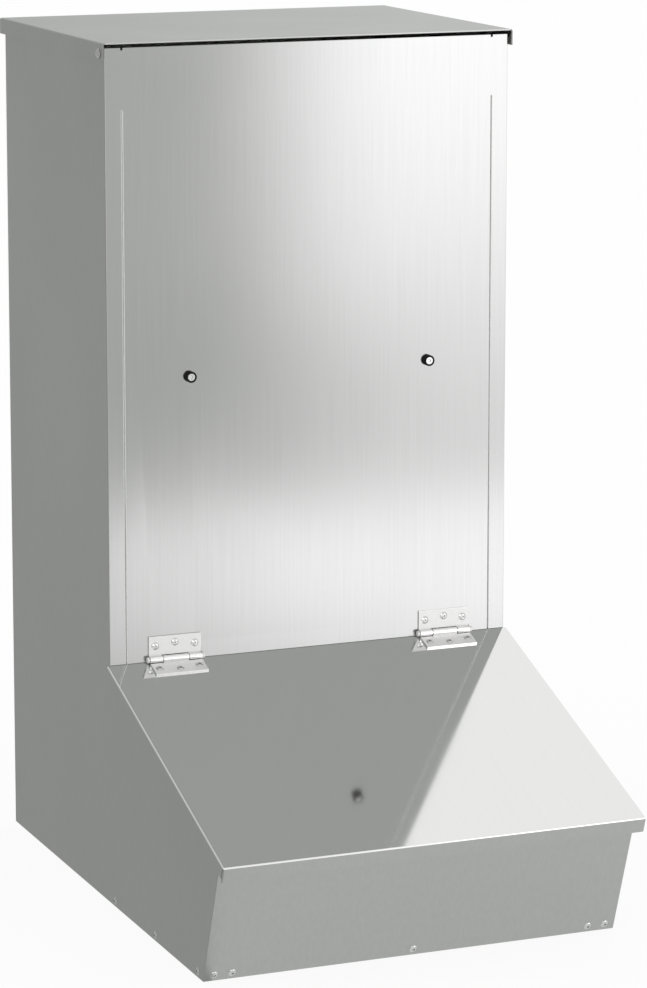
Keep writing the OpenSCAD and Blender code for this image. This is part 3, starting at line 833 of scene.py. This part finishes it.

# %% [markdown]
# ### The lid's lips, with painted shade at their fronts
#
# The front ends of the lid's side lips, which were parted from the front edge above, get a rough, dark
# steel:
# painted shade for the shade that falls there. A flat dark paint would do from afar, but a rough, dim
# steel still answers to the light.

# %% The lid's side lips, with painted shade at their front
# The dark tint below is painted shade on the lips' front ends.
lip_painted_shade = steel_finish(
    "lip_painted_shade_finish", grain=(900, 900, 200),
    tints=((0.21, 0.215, 0.208), (0.25, 0.255, 0.248)), roughness=(0.5, 0.6), height=0.01 * MM,
)
LIP_FACING = 0.3

lid = sheets["hopper_lid"]
lid_half = max(v.co.x for v in lid.data.vertices)
lid_front = min(v.co.y for v in lid.data.vertices)


def on_a_lip_front(face):
    """Whether a face looks forward at the front end of a side lip."""
    forward = -face.normal.y > LIP_FACING and face.center.y < lid_front + SHEET
    return forward and abs(face.center.x) > lid_half - LIP_REACH


second_finish(lid, lip_painted_shade, on_a_lip_front)

# %% [markdown]
# ### The deburred slits
#
# The rounds of the front panel's slits are painted pale: a painted highlight for the fine line of light
# they catch. A drawn line would stay the same under any light. The faces of the pressed valleys are
# already there, so they only need a paler, duller finish than the brushed sheet around them.

# %% The slits, with a painted highlight
# The pale tint below is a painted highlight on the slits' rounds.
slit_painted_highlight = steel_finish(
    "slit_painted_highlight_finish", grain=(900, 900, 200),
    tints=((0.58, 0.59, 0.575), (0.64, 0.65, 0.635)), roughness=(0.42, 0.5), height=0.01 * MM, bare=0.25,
)
LEVEL_FACING = 0.1
SLIT_FACING = (0.1, 0.995)
PANEL_EDGE = 4 * SHEET

panel = sheets["front_panel"]
panel_half = max(v.co.x for v in panel.data.vertices)


def on_a_slit(face):
    """Whether a face turns sideways into a slit, away from the panel's outer edges."""
    sideways = abs(face.normal.z) < LEVEL_FACING and SLIT_FACING[0] < -face.normal.y < SLIT_FACING[1]
    return sideways and abs(face.center.x) < panel_half - PANEL_EDGE


second_finish(panel, slit_painted_highlight, on_a_slit)

# %% [markdown]
# ## The studio
#
# Metal only looks like metal when it has something to mirror. The surroundings and the floor are white.
# The floor glows where the camera or a mirror looks at it, so that it stays white without more light on
# the feeder, and it still takes the feeder's shadow.

# %% Surroundings
scene.view_settings.view_transform = "Standard"
world = bpy.data.worlds.new("white_studio")
scene.world = world
world.use_nodes = True
world.node_tree.nodes["Background"].inputs["Color"].default_value = (1, 1, 1, 1)
world.node_tree.nodes["Background"].inputs["Strength"].default_value = 1.0
print("surroundings", world.name)

# %% Floor paint
FLOOR_TINT = (0.9, 0.9, 0.9, 1)
FLOOR_ROUGHNESS = 0.9
FLOOR_GLOW = 0.9

floor_paint, nodes, links, shader = new_finish("floor_paint")
shader.inputs["Base Color"].default_value = FLOOR_TINT
shader.inputs["Roughness"].default_value = FLOOR_ROUGHNESS
shader.inputs["Specular IOR Level"].default_value = 0.0
seen = nodes.new("ShaderNodeLightPath")
glow = nodes.new("ShaderNodeEmission")
painted = nodes.new("ShaderNodeMixShader")
camera_or_mirror = nodes.new("ShaderNodeMath")
camera_or_mirror.operation = "MAXIMUM"
any_look = nodes.new("ShaderNodeMath")
any_look.operation = "MAXIMUM"
glow_share = nodes.new("ShaderNodeMath")
glow_share.operation = "MULTIPLY"
glow_share.inputs[1].default_value = FLOOR_GLOW
links.new(seen.outputs["Is Camera Ray"], camera_or_mirror.inputs[0])
links.new(seen.outputs["Is Glossy Ray"], camera_or_mirror.inputs[1])
links.new(camera_or_mirror.outputs["Value"], any_look.inputs[0])
links.new(seen.outputs["Is Transmission Ray"], any_look.inputs[1])
links.new(any_look.outputs["Value"], glow_share.inputs[0])
links.new(glow_share.outputs["Value"], painted.inputs["Fac"])
links.new(shader.outputs["BSDF"], painted.inputs[1])
links.new(glow.outputs["Emission"], painted.inputs[2])
links.new(painted.outputs["Shader"], nodes["Material Output"].inputs["Surface"])
print(floor_paint.name, "glows", FLOOR_GLOW)

# %% Floor
FLOOR_SIZE = 120
FLOOR_DROP = 0.5 * MM

bpy.ops.mesh.primitive_plane_add(size=FLOOR_SIZE, location=(0, 0, -FLOOR_DROP))
floor = bpy.context.object
floor.name = "studio_floor"
floor.data.materials.append(floor_paint)
print("floor", FLOOR_SIZE, "m wide")

# %% [markdown]
# ## The cards
#
# Around the feeder stand cards that only mirrored light can see, as a product photographer sets them. A
# bright one at the right front and one low in front fill the upright panel, with a grey flag between them
# for its dark band. A bright one at the front left lights the rounded edges and the fasteners. Grey ones
# at the left, on the floor there and at the back give the left side and the lid their tone. The cards'
# edges are feathered, so that no hard line shows in the sheet. The two cards for the panel are tinted
# against the steel's own slight green, so that its brightest reflections come out white. Lamps would do
# for a dull object, but a sheet of steel shows the shape of whatever lights it.

# %% Feather an edge
def feathered(nodes, links, coordinate, rise, fall):
    """One in the middle of the card, easing to nothing at its two edges."""
    first = nodes.new("ShaderNodeMapRange")
    first.interpolation_type = "SMOOTHSTEP"
    first.inputs["From Max"].default_value = rise
    last = nodes.new("ShaderNodeMapRange")
    last.interpolation_type = "SMOOTHSTEP"
    last.inputs["From Min"].default_value = 1
    last.inputs["From Max"].default_value = 1 - fall
    both = nodes.new("ShaderNodeMath")
    both.operation = "MULTIPLY"
    links.new(coordinate, first.inputs["Value"])
    links.new(coordinate, last.inputs["Value"])
    links.new(first.outputs["Result"], both.inputs[0])
    links.new(last.outputs["Result"], both.inputs[1])
    return both.outputs["Value"]


# %% A card's paint
def card_paint(name, glow, ease_across, ease_up, tint):
    """A glow that fades to clear towards the card's edges."""
    paint, nodes, links, shader = new_finish(name + "_paint")
    nodes.remove(shader)
    place = nodes.new("ShaderNodeTexCoord")
    split = nodes.new("ShaderNodeSeparateXYZ")
    both = nodes.new("ShaderNodeMath")
    both.operation = "MULTIPLY"
    clear = nodes.new("ShaderNodeBsdfTransparent")
    light = nodes.new("ShaderNodeEmission")
    light.inputs["Color"].default_value = (*tint, 1)
    light.inputs["Strength"].default_value = glow
    mixed = nodes.new("ShaderNodeMixShader")
    links.new(place.outputs["Generated"], split.inputs["Vector"])
    links.new(feathered(nodes, links, split.outputs["X"], *ease_across), both.inputs[0])
    links.new(feathered(nodes, links, split.outputs["Y"], *ease_up), both.inputs[1])
    links.new(both.outputs["Value"], mixed.inputs["Fac"])
    links.new(clear.outputs["BSDF"], mixed.inputs[1])
    links.new(light.outputs["Emission"], mixed.inputs[2])
    links.new(mixed.outputs["Shader"], nodes["Material Output"].inputs["Surface"])
    return paint


# %% A card
PLAIN_WHITE = (1, 1, 1)


def card(name, corner, across, up, glow, ease_across, ease_up, tint=PLAIN_WHITE):
    """A card from a corner and its two sides, which only mirrored light can see."""
    corner, across, up = Vector(corner), Vector(across), Vector(up)
    wide, high = across.length, up.length
    mesh = bpy.data.meshes.new(name)
    mesh.from_pydata([(0, 0, 0), (wide, 0, 0), (wide, high, 0), (0, high, 0)], [], [(0, 1, 2, 3)])
    board = bpy.data.objects.new(name, mesh)
    sides = [across.normalized(), up.normalized(), across.cross(up).normalized()]
    board.matrix_world = Matrix.Translation(corner) @ Matrix(sides).transposed().to_4x4()
    scene.collection.objects.link(board)
    board.data.materials.append(card_paint(name, glow, ease_across, ease_up, tint))
    board.visible_camera = False
    board.visible_diffuse = False
    board.visible_shadow = False
    print(name, "glows", glow)


# %% Cards for the front panel
WHITE_IN_STEEL = (1.0, 0.974, 1.010)
ABOVE_FLOOR = 0.3 * MM

card(
    "right_front_card", corner=(0.44, -1.5, -0.33), across=(2.44, 0, 0), up=(0, 0, 1.63),
    glow=2.8, ease_across=(0.11, 0.2), ease_up=(0.63, 0.2), tint=WHITE_IN_STEEL,
)
card(
    "low_front_card", corner=(-0.23, -1.68, ABOVE_FLOOR), across=(2.33, 0, 0), up=(0, 1.33, 0),
    glow=2.6, ease_across=(0.38, 0.2), ease_up=(0.056, 0.47), tint=WHITE_IN_STEEL,
)
card(
    "front_flag", corner=(0.2, -1.46, -0.01), across=(0.62, 0, 0), up=(0, 0, 0.38),
    glow=0.6, ease_across=(0.3, 0.3), ease_up=(1, 1),
)

# %% Cards for the rounded edges, the left side and the lid
card(
    "front_left_card", corner=(-2.6, -2.2, 0.05), across=(2.5, 0, 0), up=(0, 0, 2.0),
    glow=2.2, ease_across=(0.12, 0.12), ease_up=(0.1, 0.15),
)
card(
    "left_card", corner=(-1.2, -1.5, 0.0), across=(0, 7, 0), up=(0, 0, 3.0),
    glow=0.55, ease_across=(0.1, 0.1), ease_up=(0.05, 0.2),
)
card(
    "left_floor_card", corner=(-1.25, -1.0, ABOVE_FLOOR), across=(1.06, 0, 0), up=(0, 5.5, 0),
    glow=0.57, ease_across=(0.05, 0.003), ease_up=(0.1, 0.1),
)
card(
    "back_card", corner=(-2.5, 2.5, 0.3), across=(3.8, 0, 0), up=(0, 0, 2.0),
    glow=0.6, ease_across=(0.1, 0.35), ease_up=(0.2, 0.2),
)
